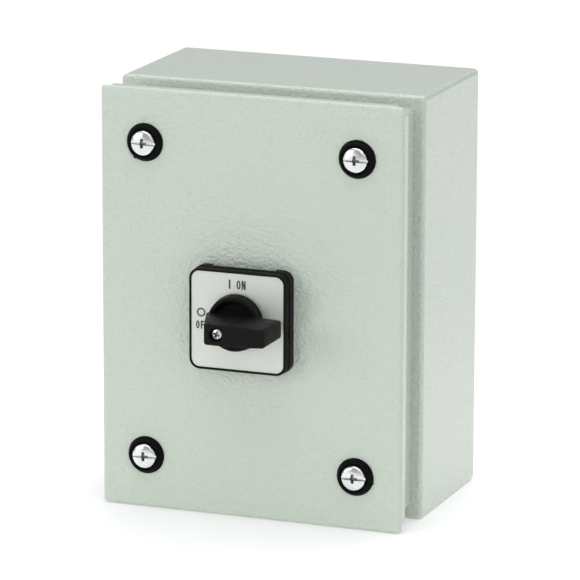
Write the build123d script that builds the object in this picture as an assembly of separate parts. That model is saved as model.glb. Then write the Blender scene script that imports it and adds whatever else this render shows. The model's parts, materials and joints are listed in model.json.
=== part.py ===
from build123d import *

import os
from math import cos, pi, radians, sin

# Wall-mounted rotary isolator: a painted sheet-steel box with a lift-off lid that carries the switch.
#
# Frame: the origin is the centre of the back face, which sits on the wall. +Z is up, and the front
# faces -Y. A "station" is a distance off the wall in mm, so a station s lies on the plane Y = -s.

# ---- driving dimensions, mm ------------------------------------------------------------------

# Sheet-steel box: its sides end in a rim, and a narrower neck runs on from there to the lid.
BODY_WIDTH = 150.0
BODY_HEIGHT = 200.0
SHEET = 1.5
RIM_STATION = 76.5
NECK_INSET = 5.4
NECK_STATION = 98.0
BEND_RADIUS = 2.0
CORNER_RADIUS = 2.5

# Folded lid
LID_WIDTH = 148.4
LID_HEIGHT = 199.4
LID_STATION = 103.0
LID_FLANGE = 6.0
LID_CORNER_CUT = 4.5
LID_SCREW_X = 52.0
LID_SCREW_Z = 74.5
GASKET_WIDTH = 7.0

# Wall fixings and cable entries
FIXING_X = 120.0
FIXING_Z = 170.0
FIXING_RADIUS = 3.5
ENTRY_X = 30.0
ENTRY_STATION = 40.0
ENTRY_RADIUS = 12.65
EARTH_X = -56.0
EARTH_Z = -62.0

# Switch axis, measured from the centre of the lid, and the escutcheon round it
AXIS_X = -2.5
AXIS_Z = -4.0
BEZEL_SIZE = 48.0
BEZEL_RADIUS = 5.0
BEZEL_SPLIT_STATION = 108.0
BEZEL_STATION = 113.2
PLATE_SIZE = 45.4
PLATE_THICKNESS = 0.6
PLATE_STATION = 112.7
SCREW_SQUARE = 36.0

# Handle: a round skirt with a straight grip across it, longer on one side of the axis
DISC_STATION = 113.5
DISC_TOP_STATION = 118.5
DISC_RADIUS = 13.4
DISC_TOP_RADIUS = 12.8
GRIP_STATION = 140.0
GRIP_TAIL = 23.8
GRIP_TIP_BASE = 13.2
GRIP_TIP = 5.5
GRIP_TAIL_WIDTH = 8.3
GRIP_TIP_WIDTH = 9.8
HUB_RADIUS = 5.8
HUB_STATION = 104.0
SHAFT_SQUARE = 6.0
SHAFT_STATION = 132.0

# Switch block behind the lid
HOUSING_SIZE = 45.0
HOUSING_DEPTH = 12.0
COVER_THICKNESS = 2.0
CHAMBER_WIDTH = 42.0
CHAMBER_HEIGHT = 48.0
CHAMBER_DEPTH = 12.5
CHAMBER_FLOOR = 1.5
END_PLATE_THICKNESS = 3.0
THROUGH_BOLT_Z = 18.5

# Cam and contacts: a quarter turn of the handle lets each contact in by CONTACT_TRAVEL.
CAM_PEAK = 7.5
CONTACT_TRAVEL = 2.0
CAM_GAP = 0.12
PLUNGER_WIDTH = 5.0
PLUNGER_BACK = 15.2
BRIDGE_FACE = 12.65
BRIDGE_THICKNESS = 1.2
BRIDGE_HALF_LENGTH = 10.0
CONTACT_SPREAD = 8.5
TIP_HEIGHT = 0.5
STRIP_BACK = 8.6
CONTACT_GAP_CLOSED = 0.05
TERMINAL_X = 14.0
SLIP = 0.05

# ---- stations that follow from them ----------------------------------------------------------

LID_INSIDE = LID_STATION - SHEET
HOUSING_BACK = LID_INSIDE - HOUSING_DEPTH
COVER_BACK = HOUSING_BACK - COVER_THICKNESS
FRONT_CHAMBER = COVER_BACK - CHAMBER_DEPTH
REAR_CHAMBER = FRONT_CHAMBER - CHAMBER_DEPTH
END_PLATE_BACK = REAR_CHAMBER - END_PLATE_THICKNESS
CHAMBERS = {"front": FRONT_CHAMBER, "rear": REAR_CHAMBER}
SIDES = {"left": -1, "right": 1}
STRIP_FACE = BRIDGE_FACE - TIP_HEIGHT - CONTACT_TRAVEL - CONTACT_GAP_CLOSED - TIP_HEIGHT


# ---- building blocks -------------------------------------------------------------------------


def at(station, x=0.0, z=0.0):
    """Plane parallel to the wall, facing the front, with its centre at x and z."""
    return Plane(origin=(x, -station, z), x_dir=(1, 0, 0), z_dir=(0, -1, 0))


def slab(width, height, start, stop, radius=0.0, x=0.0, z=0.0):
    """Upright block between two stations, with rounded corners if a radius is given."""
    outline = RectangleRounded(width, height, radius) if radius else Rectangle(width, height)
    return extrude(at(start, x, z) * outline, stop - start)


def rod(radius, start, stop, x=0.0, z=0.0):
    """Round bar square to the wall."""
    return extrude(at(start, x, z) * Circle(radius), stop - start)


def tapered(start_radius, stop_radius, start, stop, x=0.0, z=0.0):
    """Round bar square to the wall whose radius changes evenly along it."""
    upright = (Align.CENTER, Align.CENTER, Align.MIN)
    return at(start, x, z) * Cone(start_radius, stop_radius, stop - start, align=upright)


def hexagon(flats, start, stop, x=0.0, z=0.0):
    """Hexagonal bar square to the wall, sized across its flats."""
    return extrude(at(start, x, z) * RegularPolygon(flats / 2, 6, major_radius=False), stop - start)


def box_between(low, high):
    """Block between two corners given as x, station, z."""
    size = [abs(b - a) for a, b in zip(low, high)]
    middle = [(a + b) / 2 for a, b in zip(low, high)]
    return Pos(middle[0], -middle[1], middle[2]) * Box(*size)


def cross_recess(slot, cross, width, depth, front, x=0.0, z=0.0):
    """Cutter for a screwdriver slot of one length and a cross recess of another."""
    recess = slab(slot, width, front - depth, front, 0, x, z)
    return recess + slab(width, cross, front - depth, front, 0, x, z)


def four(x, z):
    """The four corners of a rectangle of half-width x and half-height z."""
    return [(sx * x, sz * z) for sz in (1, -1) for sx in (-1, 1)]


def on_axis(part):
    """Moves a part drawn about the origin to the switch's own axis."""
    return Pos(AXIS_X, 0, AXIS_Z) * part


def square_bore(start, stop):
    """Cutter for a hole that slides on the square shaft."""
    return slab(SHAFT_SQUARE + 2 * SLIP, SHAFT_SQUARE + 2 * SLIP, start, stop)


def group(solids):
    """Separate solids kept together in one node."""
    return Compound(children=[solid for item in solids for solid in item.solids()])


def coil(radius, wire, length, turns):
    """Closed round-wire spring along +X, from x = 0 to its length."""
    pitch = (length - wire) / turns
    path = Helix(pitch=pitch, height=length - wire, radius=radius, direction=(1, 0, 0))
    section = Plane(origin=path @ 0, z_dir=path % 0) * Circle(wire / 2)
    return Pos(wire / 2, 0, 0) * sweep(section, path=path, is_frenet=True)


# ---- box -------------------------------------------------------------------------------------


def enclosure_body():
    shell = slab(BODY_WIDTH, BODY_HEIGHT, 0, RIM_STATION, CORNER_RADIUS)
    ends = shell.faces().filter_by(Axis.Y)
    shell = fillet(ends.edges(), BEND_RADIUS)
    inner = BODY_WIDTH - 2 * SHEET, BODY_HEIGHT - 2 * SHEET
    shell -= slab(*inner, SHEET, RIM_STATION - SHEET, CORNER_RADIUS - SHEET)
    neck_width = BODY_WIDTH - 2 * NECK_INSET
    neck_height = BODY_HEIGHT - 2 * NECK_INSET
    shell += slab(neck_width, neck_height, RIM_STATION - SHEET, NECK_STATION, CORNER_RADIUS)
    mouth = neck_width - 2 * SHEET, neck_height - 2 * SHEET
    shell -= slab(*mouth, RIM_STATION - 2 * SHEET, NECK_STATION, CORNER_RADIUS - SHEET)
    for x, z in four(FIXING_X / 2, FIXING_Z / 2):
        shell -= rod(FIXING_RADIUS, 0, SHEET, x, z)
    for x in (-ENTRY_X, ENTRY_X):
        shell -= Pos(x, -ENTRY_STATION, -BODY_HEIGHT / 2) * Cylinder(ENTRY_RADIUS, 4 * SHEET)
    return shell


BRACKET_STATION = 88.0
BRACKET_THICKNESS = 2.0
NUT_THICKNESS = 5.0
NUT_FLATS = 10.0
M6_RADIUS = 3.0
M6_CLEARANCE = 0.4
BRACKET_REACH = 30.0
BRACKET_BEVEL = 12.0


def corner_brackets():
    """Four plates welded across the corners of the neck, which hold the lid's nuts."""
    inside_x = BODY_WIDTH / 2 - NECK_INSET - SHEET
    inside_z = BODY_HEIGHT / 2 - NECK_INSET - SHEET
    front = BRACKET_STATION + BRACKET_THICKNESS
    inside_neck = slab(2 * inside_x, 2 * inside_z, BRACKET_STATION, front, CORNER_RADIUS - SHEET)
    plates = []
    for x, z in four(1, 1):
        corner = x * inside_x, z * inside_z
        far_x = corner[0] - x * BRACKET_REACH
        far_z = corner[1] - z * BRACKET_REACH
        points = [
            corner,
            (far_x, corner[1]),
            (far_x, far_z + z * BRACKET_BEVEL),
            (far_x + x * BRACKET_BEVEL, far_z),
            (corner[0], far_z),
        ]
        outline = at(BRACKET_STATION) * make_face(Polyline(*points, close=True))
        plate = extrude(outline, BRACKET_THICKNESS) & inside_neck
        hole = rod(M6_RADIUS + M6_CLEARANCE, BRACKET_STATION, front, x * LID_SCREW_X, z * LID_SCREW_Z)
        plates.append(plate - hole)
    return group(plates)


def weld_nuts():
    nuts = []
    for x, z in four(LID_SCREW_X, LID_SCREW_Z):
        nut = hexagon(NUT_FLATS, BRACKET_STATION - NUT_THICKNESS, BRACKET_STATION, x, z)
        nuts.append(nut - rod(M6_RADIUS + SLIP, BRACKET_STATION - NUT_THICKNESS, BRACKET_STATION, x, z))
    return group(nuts)


EARTH_WASHER = 1.6
EARTH_WASHER_RADIUS = 6.0
EARTH_STUD_END = 20.0
STUD_CHAMFER = 0.6


def earth_stud():
    stud = rod(M6_RADIUS, SHEET, EARTH_STUD_END, EARTH_X, EARTH_Z)
    return chamfer(stud.faces().sort_by(Axis.Y)[0].edges(), STUD_CHAMFER)


def earth_washers():
    starts = [SHEET, SHEET + EARTH_WASHER + NUT_THICKNESS]
    washers = []
    for start in starts:
        ring = rod(EARTH_WASHER_RADIUS, start, start + EARTH_WASHER, EARTH_X, EARTH_Z)
        washers.append(ring - rod(M6_RADIUS + SLIP, start, start + EARTH_WASHER, EARTH_X, EARTH_Z))
    return group(washers)


def earth_nuts():
    starts = [SHEET + EARTH_WASHER, SHEET + 2 * EARTH_WASHER + NUT_THICKNESS]
    nuts = []
    for start in starts:
        nut = hexagon(NUT_FLATS, start, start + NUT_THICKNESS, EARTH_X, EARTH_Z)
        nuts.append(nut - rod(M6_RADIUS + SLIP, start, start + NUT_THICKNESS, EARTH_X, EARTH_Z))
    return group(nuts)


# ---- lid and its fasteners -------------------------------------------------------------------

LID_HOLE_RADIUS = 3.3
LID_CENTRE_HOLE = 6.2
M4_RADIUS = 2.0
M4_CLEARANCE = 0.25
GASKET_RADIUS = 5.0
GASKET_INNER_RADIUS = 3.0


def lid():
    back = LID_STATION - LID_FLANGE
    tray = slab(LID_WIDTH, LID_HEIGHT, back, LID_STATION, BEND_RADIUS)
    tray = fillet(tray.faces().sort_by(Axis.Y)[0].edges(), BEND_RADIUS)
    tray -= slab(LID_WIDTH - 2 * SHEET, LID_HEIGHT - 2 * SHEET, back, LID_INSIDE, BEND_RADIUS - SHEET)
    for x, z in four(LID_WIDTH / 2, LID_HEIGHT / 2):
        tray -= slab(2 * LID_CORNER_CUT, 2 * LID_CORNER_CUT, back, LID_INSIDE, 0, x, z)
    for x, z in four(LID_SCREW_X, LID_SCREW_Z):
        tray -= rod(LID_HOLE_RADIUS, LID_INSIDE, LID_STATION, x, z)
    holes = [rod(LID_CENTRE_HOLE, LID_INSIDE, LID_STATION)]
    for x, z in four(SCREW_SQUARE / 2, SCREW_SQUARE / 2):
        holes.append(rod(M4_RADIUS + M4_CLEARANCE, LID_INSIDE, LID_STATION, x, z))
    for hole in holes:
        tray -= on_axis(hole)
    return tray


def lid_gasket():
    """Foam strip glued inside the lid, pressed on by the edge of the neck."""
    middle_x = BODY_WIDTH / 2 - NECK_INSET - SHEET / 2
    middle_z = BODY_HEIGHT / 2 - NECK_INSET - SHEET / 2
    outer = 2 * middle_x + GASKET_WIDTH, 2 * middle_z + GASKET_WIDTH
    inner = 2 * middle_x - GASKET_WIDTH, 2 * middle_z - GASKET_WIDTH
    strip = slab(*outer, NECK_STATION, LID_INSIDE, GASKET_RADIUS)
    return strip - slab(*inner, NECK_STATION, LID_INSIDE, GASKET_INNER_RADIUS)


WASHER_HEIGHT = 2.8
WASHER_FLOOR = 0.8
WASHER_BASE_RADIUS = 9.0
WASHER_TOP_RADIUS = 7.2
HEAD_RADIUS = 6.0
HEAD_HEIGHT = 3.5
HEAD_ROUND = 1.6
RECESS_CROSS = 4.6
RECESS_WIDTH = 1.3
RECESS_DEPTH = 1.5
LID_SCREW_LENGTH = 25.0
LID_SCREW_CHAMFER = 0.7


def lid_screws():
    """M6 pan-head screws with a combined slot and cross recess."""
    seat = LID_STATION + WASHER_FLOOR
    front = seat + HEAD_HEIGHT
    screws = []
    for x, z in four(LID_SCREW_X, LID_SCREW_Z):
        head = rod(HEAD_RADIUS, seat, front, x, z)
        head = fillet(head.faces().sort_by(Axis.Y)[0].edges(), HEAD_ROUND)
        head -= cross_recess(2 * HEAD_RADIUS, RECESS_CROSS, RECESS_WIDTH, RECESS_DEPTH, front, x, z)
        shank = rod(M6_RADIUS, seat - LID_SCREW_LENGTH, seat, x, z)
        shank = chamfer(shank.faces().sort_by(Axis.Y)[-1].edges(), LID_SCREW_CHAMFER)
        screws.append(head + shank)
    return group(screws)


def screw_sealing_washers():
    washers = []
    seat = LID_STATION + WASHER_FLOOR
    front = LID_STATION + WASHER_HEIGHT
    for x, z in four(LID_SCREW_X, LID_SCREW_Z):
        ring = tapered(WASHER_BASE_RADIUS, WASHER_TOP_RADIUS, LID_STATION, front, x, z)
        ring -= rod(HEAD_RADIUS + SLIP, seat, front, x, z)
        ring -= rod(M6_RADIUS + SLIP, LID_STATION, seat, x, z)
        washers.append(ring)
    return group(washers)


# ---- escutcheon on the front of the lid --------------------------------------------------------

BEZEL_GASKET = 0.6
BEZEL_GASKET_SIZE = 42.0
BEZEL_GASKET_RADIUS = 4.0
BASE_SCREW_SEAT = 104.8
BASE_SCREW_HEAD = 3.5
BASE_SCREW_HEAD_HEIGHT = 2.4
BASE_SCREW_CROSS = 3.6
BASE_SCREW_SLOT = 0.8
BASE_SCREW_END = HOUSING_BACK + 2.0
SCREW_WELL_CLEARANCE = 0.2
SEAL_STATION = 105.0
SEAL_RADIUS = 8.0
SEAL_THICKNESS = 2.2
PLATE_HOLE = 7.2
NOTCH_WIDTH = 32.0
NOTCH_DEPTH = 1.5
NOTCH_STATION = 106.0


def bezel_gasket():
    front = LID_STATION + BEZEL_GASKET
    sheet = slab(BEZEL_GASKET_SIZE, BEZEL_GASKET_SIZE, LID_STATION, front, BEZEL_GASKET_RADIUS)
    sheet -= rod(LID_CENTRE_HOLE, LID_STATION, front)
    for x, z in four(SCREW_SQUARE / 2, SCREW_SQUARE / 2):
        sheet -= rod(M4_RADIUS + M4_CLEARANCE, LID_STATION, front, x, z)
    return on_axis(sheet)


def bezel_base():
    """Moulded carrier screwed to the lid, with a notch in its top and bottom edges."""
    block = slab(BEZEL_SIZE, BEZEL_SIZE, LID_STATION, BEZEL_SPLIT_STATION, BEZEL_RADIUS)
    gasket_front = LID_STATION + BEZEL_GASKET
    block -= slab(BEZEL_GASKET_SIZE, BEZEL_GASKET_SIZE, LID_STATION, gasket_front, BEZEL_GASKET_RADIUS)
    for side in (-1, 1):
        edge = side * (BEZEL_SIZE / 2)
        block -= slab(NOTCH_WIDTH, 2 * NOTCH_DEPTH, LID_STATION, NOTCH_STATION, 0, 0, edge)
    block -= rod(LID_CENTRE_HOLE, LID_STATION, SEAL_STATION)
    block -= rod(SEAL_RADIUS, SEAL_STATION, BEZEL_SPLIT_STATION)
    for x, z in four(SCREW_SQUARE / 2, SCREW_SQUARE / 2):
        block -= rod(M4_RADIUS + SCREW_WELL_CLEARANCE, LID_STATION, BASE_SCREW_SEAT, x, z)
        well = BASE_SCREW_HEAD + SCREW_WELL_CLEARANCE
        block -= rod(well, BASE_SCREW_SEAT, BEZEL_SPLIT_STATION, x, z)
    return on_axis(block)


def base_screws():
    """M4 screws that clamp the bezel, the lid and the switch block together."""
    screws = []
    front = BASE_SCREW_SEAT + BASE_SCREW_HEAD_HEIGHT
    depth = BASE_SCREW_HEAD_HEIGHT / 2
    for x, z in four(SCREW_SQUARE / 2, SCREW_SQUARE / 2):
        head = rod(BASE_SCREW_HEAD, BASE_SCREW_SEAT, front, x, z)
        head -= cross_recess(BASE_SCREW_CROSS, BASE_SCREW_CROSS, BASE_SCREW_SLOT, depth, front, x, z)
        screws.append(on_axis(head + rod(M4_RADIUS, BASE_SCREW_END, BASE_SCREW_SEAT, x, z)))
    return group(screws)


def shaft_seal():
    ring = rod(SEAL_RADIUS, SEAL_STATION, SEAL_STATION + SEAL_THICKNESS)
    return on_axis(ring - rod(HUB_RADIUS + SLIP, SEAL_STATION, SEAL_STATION + SEAL_THICKNESS))


FRAME_SIZE = 47.6
FRAME_FLOOR = 1.4
FRAME_CHAMFER = 0.4
FRAME_HOLLOW = 42.0
FRAME_HOLLOW_RADIUS = 3.0
PLATE_SLIP = 0.1


def bezel_frame():
    """Snap-on front frame with a raised rim round the legend plate."""
    frame = slab(FRAME_SIZE, FRAME_SIZE, BEZEL_SPLIT_STATION, BEZEL_STATION, BEZEL_RADIUS)
    frame = chamfer(frame.faces().sort_by(Axis.Y)[0].edges(), FRAME_CHAMFER)
    plate_back = PLATE_STATION - PLATE_THICKNESS
    window = PLATE_SIZE + PLATE_SLIP
    frame -= slab(window, window, plate_back, BEZEL_STATION, BEZEL_RADIUS - 1)
    floor_back = plate_back - FRAME_FLOOR
    frame -= slab(FRAME_HOLLOW, FRAME_HOLLOW, BEZEL_SPLIT_STATION, floor_back, FRAME_HOLLOW_RADIUS)
    frame -= rod(PLATE_HOLE, floor_back, plate_back)
    return on_axis(frame)


def legend_plate():
    plate_back = PLATE_STATION - PLATE_THICKNESS
    plate = slab(PLATE_SIZE, PLATE_SIZE, plate_back, PLATE_STATION, BEZEL_RADIUS - 1)
    return on_axis(plate - rod(PLATE_HOLE, plate_back, PLATE_STATION))


# ---- handle and shaft ------------------------------------------------------------------------

KNOB_SCREW_SEAT = 136.2
KNOB_SCREW_HEAD = 2.8
KNOB_SCREW_HEAD_HEIGHT = 2.2
KNOB_SCREW_ROUND = 0.9
KNOB_SCREW_CROSS = 3.2
KNOB_SCREW_SLOT = 0.7
KNOB_SCREW_REACH = 10.0
KNOB_SCREW_POCKET = 3.4
M3_RADIUS = 1.5
M3_CLEARANCE = 0.2
DISC_ROUND = 0.8
DISH_RADIUS = 10.6
DISH_STATION = DISC_STATION + 1.4
JOURNAL_RADIUS = 2.8
GRIP_OVERLAP = 0.2
GRIP_SWELL = 0.35
GRIP_ROUND = 0.7
FOOT_HEIGHT = 1.2
FOOT_EXTRA_WIDTH = 1.4
ROOT_DEPTH = 0.5
SHAFT_END_GAP = 0.2
SHOULDER_GAP = 0.2
TAPPED_DEPTH = 12.0


def grip():
    """Straight bar grip: its tip slants back from the disc, its tail runs past the disc."""
    base = DISC_TOP_STATION - GRIP_OVERLAP
    side = Polyline(
        (-GRIP_TIP_BASE, -base),
        (-GRIP_TIP, -GRIP_STATION),
        (GRIP_TAIL, -GRIP_STATION),
        (GRIP_TAIL, -base),
        close=True,
    )
    bar = extrude(Plane.XY * make_face(side), GRIP_TIP_WIDTH, both=True)
    half_tip = GRIP_TIP_WIDTH / 2
    half_tail = GRIP_TAIL_WIDTH / 2
    swell = (half_tip + half_tail) / 2 + GRIP_SWELL
    middle = (GRIP_TAIL - GRIP_TIP_BASE) / 2
    top = ThreePointArc((-GRIP_TIP_BASE, half_tip), (middle, swell), (GRIP_TAIL, half_tail))
    tail = Line((GRIP_TAIL, half_tail), (GRIP_TAIL, -half_tail))
    bottom = ThreePointArc((GRIP_TAIL, -half_tail), (middle, -swell), (-GRIP_TIP_BASE, -half_tip))
    tip = Line((-GRIP_TIP_BASE, -half_tip), (-GRIP_TIP_BASE, half_tip))
    plan = extrude(at(base) * make_face(top + tail + bottom + tip), GRIP_STATION - base)
    bar = bar & plan
    return fillet(bar.edges().filter_by(lambda edge: edge.center().Y < -base - 1), GRIP_ROUND)


def grip_root():
    """The grip's foot inside the dished face of the disc."""
    start = DISH_STATION - ROOT_DEPTH
    length = 2 * DISH_RADIUS
    foot = slab(length, GRIP_TIP_WIDTH + FOOT_EXTRA_WIDTH, start, DISH_STATION + FOOT_HEIGHT)
    stem = slab(length, GRIP_TIP_WIDTH - GRIP_OVERLAP, start, DISC_TOP_STATION)
    return (foot + stem) & rod(DISH_RADIUS + ROOT_DEPTH, start, DISC_TOP_STATION)


def knob():
    disc = tapered(DISC_RADIUS, DISC_TOP_RADIUS, DISC_STATION, DISC_TOP_STATION)
    disc = fillet(disc.faces().sort_by(Axis.Y)[0].edges(), DISC_ROUND)
    disc -= rod(DISH_RADIUS, DISH_STATION, DISC_TOP_STATION)
    body = disc + grip_root() + grip()
    body += rod(HUB_RADIUS, HUB_STATION, DISC_STATION)
    body -= rod(KNOB_SCREW_POCKET, KNOB_SCREW_SEAT, GRIP_STATION)
    body -= rod(M3_RADIUS + M3_CLEARANCE, SHAFT_STATION, KNOB_SCREW_SEAT)
    return on_axis(body - square_bore(HUB_STATION, SHAFT_STATION + SHAFT_END_GAP))


def knob_screw():
    front = KNOB_SCREW_SEAT + KNOB_SCREW_HEAD_HEIGHT
    head = rod(KNOB_SCREW_HEAD, KNOB_SCREW_SEAT, front)
    head = fillet(head.faces().sort_by(Axis.Y)[0].edges(), KNOB_SCREW_ROUND)
    depth = KNOB_SCREW_HEAD_HEIGHT / 2
    head -= cross_recess(KNOB_SCREW_CROSS, KNOB_SCREW_CROSS, KNOB_SCREW_SLOT, depth, front)
    return on_axis(head + rod(M3_RADIUS, SHAFT_STATION - KNOB_SCREW_REACH, KNOB_SCREW_SEAT))


def drive_shaft():
    """Square shaft with a round journal that runs in the end plate."""
    shoulder = REAR_CHAMBER + SHOULDER_GAP
    shaft = slab(SHAFT_SQUARE, SHAFT_SQUARE, shoulder, SHAFT_STATION)
    shaft -= rod(M3_RADIUS + SLIP, SHAFT_STATION - TAPPED_DEPTH, SHAFT_STATION)
    return on_axis(shaft + rod(JOURNAL_RADIUS, END_PLATE_BACK, shoulder))


# ---- detent section, directly behind the lid --------------------------------------------------

BUSH_RADIUS = 5.0
BUSH_FIT = 0.08
BUSH_GAP_BACK = 0.1
BUSH_GAP_FRONT = 0.2
DETENT_RADIUS = 9.0
DETENT_NOTCH = 1.2
DETENT_NOTCH_RADIUS = 2.0
DETENT_START = HOUSING_BACK + 1.5
DETENT_STOP = HOUSING_BACK + 7.0
STOP_START = HOUSING_BACK + 7.5
STOP_STOP = HOUSING_BACK + 9.0
HOUSING_WALL = 2.5
DETENT_CAVITY = 10.2
TONGUE_REACH = 12.8
TONGUE_WIDTH = 4.0
STOP_RING_RADIUS = 7.0
POCKET_FIRST = 77.0
POCKET_LAST = 193.0
POCKET_CLEARANCE = 0.6
HOUSING_RADIUS = 4.0
BLIND_FLOOR = 1.0
BOLT_THREAD_DEPTH = 8.0
BOLT_END = HOUSING_BACK + 7.0
COVER_HOLE = 5.2
M3_HOLE = M3_RADIUS + 0.15
PLUNGER_SQUARE = 5.0
PLUNGER_SLIP = 0.2
PLUNGER_REST = 9.3
PLUNGER_NOSE = 1.4
DETENT_PLUNGER_BACK = 15.0
DETENT_CHANNEL_END = 20.5
SPRING_RADIUS = 1.7
DETENT_WIRE = 0.6
SPRING_TURNS = 4
SPRING_GAP = 0.05


def sector(radius, first, last, start, stop):
    """Pie-shaped block about the axis, between two angles counted up from +X towards +Z."""
    reach = 2 * radius
    middle = (first + last) / 2
    corners = [(0, 0)]
    for angle in (first, middle, last):
        corners.append((reach * cos(radians(angle)), reach * sin(radians(angle))))
    wedge = extrude(at(start) * make_face(Polyline(*corners, close=True)), stop - start)
    return wedge & rod(radius, start, stop)


def detent_housing():
    """Moulding with the detent, the quarter-turn stop and the shaft's front bearing."""
    block = slab(HOUSING_SIZE, HOUSING_SIZE, HOUSING_BACK, LID_INSIDE, HOUSING_RADIUS)
    floor = LID_INSIDE - HOUSING_WALL
    block -= rod(DETENT_CAVITY, HOUSING_BACK, floor)
    block -= rod(BUSH_RADIUS + BUSH_FIT, floor, LID_INSIDE)
    pocket_start = STOP_START - POCKET_CLEARANCE / 2
    block -= sector(TONGUE_REACH + POCKET_CLEARANCE, POCKET_FIRST, POCKET_LAST, pocket_start, floor)
    channel = 2 * DETENT_CHANNEL_END
    block -= slab(channel, PLUNGER_SQUARE + PLUNGER_SLIP, HOUSING_BACK, DETENT_STOP + PLUNGER_SLIP)
    for x, z in four(SCREW_SQUARE / 2, SCREW_SQUARE / 2):
        block -= rod(M4_RADIUS + SLIP, HOUSING_BACK + BLIND_FLOOR, LID_INSIDE, x, z)
    for z in (-THROUGH_BOLT_Z, THROUGH_BOLT_Z):
        block -= rod(M3_RADIUS + SLIP, HOUSING_BACK, HOUSING_BACK + BOLT_THREAD_DEPTH, 0, z)
    return on_axis(block)


def detent_cover():
    plate = slab(HOUSING_SIZE, HOUSING_SIZE, COVER_BACK, HOUSING_BACK, HOUSING_RADIUS)
    plate -= rod(COVER_HOLE, COVER_BACK, HOUSING_BACK)
    for z in (-THROUGH_BOLT_Z, THROUGH_BOLT_Z):
        plate -= rod(M3_HOLE, COVER_BACK, HOUSING_BACK, 0, z)
    return on_axis(plate)


def detent_wheel():
    """Wheel with a notch every quarter turn."""
    wheel = rod(DETENT_RADIUS, DETENT_START, DETENT_STOP)
    for quarter in range(4):
        angle = quarter * pi / 2
        reach = DETENT_RADIUS + DETENT_NOTCH_RADIUS - DETENT_NOTCH
        notch = reach * cos(angle), reach * sin(angle)
        wheel -= rod(DETENT_NOTCH_RADIUS, DETENT_START, DETENT_STOP, *notch)
    return on_axis(wheel - square_bore(DETENT_START, DETENT_STOP))


def stop_washer():
    """Ring with a tongue that meets the ends of the housing's quarter-turn pocket."""
    ring = rod(STOP_RING_RADIUS, STOP_START, STOP_STOP)
    ring += box_between((-TONGUE_REACH, STOP_START, -TONGUE_WIDTH / 2), (0, STOP_STOP, TONGUE_WIDTH / 2))
    return on_axis(ring - square_bore(STOP_START, STOP_STOP))


def shaft_bush():
    start = STOP_STOP + BUSH_GAP_BACK
    stop = LID_INSIDE - BUSH_GAP_FRONT
    return on_axis(rod(BUSH_RADIUS, start, stop) - square_bore(start, stop))


def detent_plungers():
    plungers = []
    half = PLUNGER_SQUARE / 2
    for side in SIDES.values():
        nose = PLUNGER_REST + PLUNGER_NOSE
        block = box_between((nose, DETENT_START, -half), (DETENT_PLUNGER_BACK, DETENT_STOP, half))
        tip = rod(PLUNGER_NOSE, DETENT_START, DETENT_STOP, nose)
        plunger = block + tip
        plungers.append(on_axis(plunger if side > 0 else plunger.rotate(Axis.Y, 180)))
    return group(plungers)


def detent_springs():
    middle = (DETENT_START + DETENT_STOP) / 2
    length = DETENT_CHANNEL_END - DETENT_PLUNGER_BACK - 2 * SPRING_GAP
    springs = []
    for side in SIDES.values():
        spring = coil(SPRING_RADIUS, DETENT_WIRE, length, SPRING_TURNS)
        spring = Pos(DETENT_PLUNGER_BACK + SPRING_GAP, 0, 0) * spring
        if side < 0:
            spring = spring.rotate(Axis.Z, 180)
        springs.append(Pos(AXIS_X, -middle, AXIS_Z) * spring)
    return group(springs)


# ---- contact chambers --------------------------------------------------------------------------

CHAMBER_RADIUS = 1.0
CAVITY_RADIUS = 8.2
SHAFT_HOLE = 4.7
SLIDER_CLEARANCE = 0.3
SLIDER_CHANNEL = 24.0
SPRING_ROOM_INNER = 10.3
SPRING_ROOM_OUTER = 19.5
BRIDGE_ROOM_TOP = 10.8
STRIP_ROOM_TOP = 12.4
STRIP_ROOM_BOTTOM = 6.2
STRIP_CLEARANCE = 0.2
TERMINAL_ROOM_OUTER = 19.0
TERMINAL_PLATE_Z = 15.2
TERMINAL_PLATE = 1.2
TERMINAL_PLATE_END = 18.4
TERMINAL_PLATE_HALF = 3.5
CLAMP_Z = 18.4
CLAMP_INNER = 10.6
CLAMP_OUTER = 17.4
CLAMP_HALF = 3.4
TERMINAL_HEAD_Z = 19.6
TERMINAL_END_Z = 22.2
TERMINAL_SHANK_Z = 12.8
TERMINAL_SCREW = 1.75
TERMINAL_HEAD_RADIUS = 3.2
TERMINAL_SLOT_WIDTH = 0.9
TERMINAL_SLOT_DEPTH = 1.2
BRIDGE_WIDTH = 5.0
STRIP_WIDTH = 5.0
STRIP_START_Z = 6.5
TIP_RADIUS = 1.5
CAM_END_GAP = 1.2
CAM_HUB_GAP = 0.2
CAM_HUB_RADIUS = 4.9
CAM_STEPS = 6
SLIDER_HALF_DEPTH = 4.0
NOSE_RADIUS = 1.5
NOSE_LENGTH = 2.5
BRIDGE_CLEARANCE = 0.1
CONTACT_WIRE = 0.5
CUT_THROUGH = 4.0


def chamber_middle(floor):
    """Station at half the depth of a chamber's hollow."""
    return floor + CHAMBER_FLOOR + (CHAMBER_DEPTH - CHAMBER_FLOOR) / 2


def corner_terminals():
    """Side and up/down sign of each of a chamber's four terminals."""
    return [(side, up) for side in SIDES.values() for up in (1, -1)]


def span(side, up, inner, outer, start, stop):
    """Block in one quarter of a chamber, from corner inner to corner outer given as x, z."""
    return box_between((side * inner[0], start, up * inner[1]), (side * outer[0], stop, up * outer[1]))


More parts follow.
